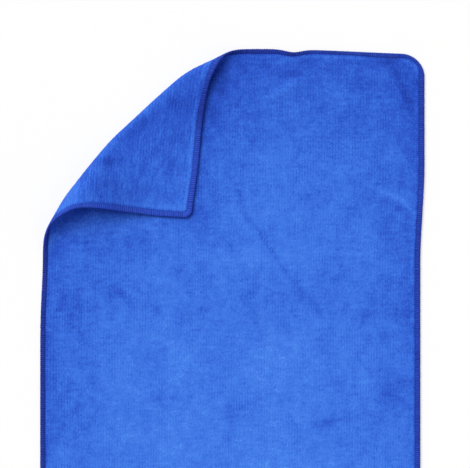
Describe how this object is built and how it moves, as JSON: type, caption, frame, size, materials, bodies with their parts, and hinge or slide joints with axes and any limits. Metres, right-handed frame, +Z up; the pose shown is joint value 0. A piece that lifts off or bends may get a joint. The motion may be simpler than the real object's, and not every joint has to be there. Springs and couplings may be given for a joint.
{
  "type": "microfibre towel",
  "caption": "Flat rectangular terry towel with rounded corners and an overlocked edge, one corner turned over onto its face.",
  "frame": {"origin": "on the surface that the towel lies on, under the middle of its overall box", "axes": "+X towards the towel's right hem, +Y along its length towards the end with the turned corner, +Z up off the surface"},
  "size_m": [0.302, 0.6001, 0.029],
  "materials": {
    "terry": "short brushed pile, matt with a soft sheen",
    "edge_thread": "overlocked polyester thread, matt"
  },
  "bodies": {
    "root": {"terry_cloth": "terry", "overlocked_edge": "edge_thread"}
  },
  "joints": []
}
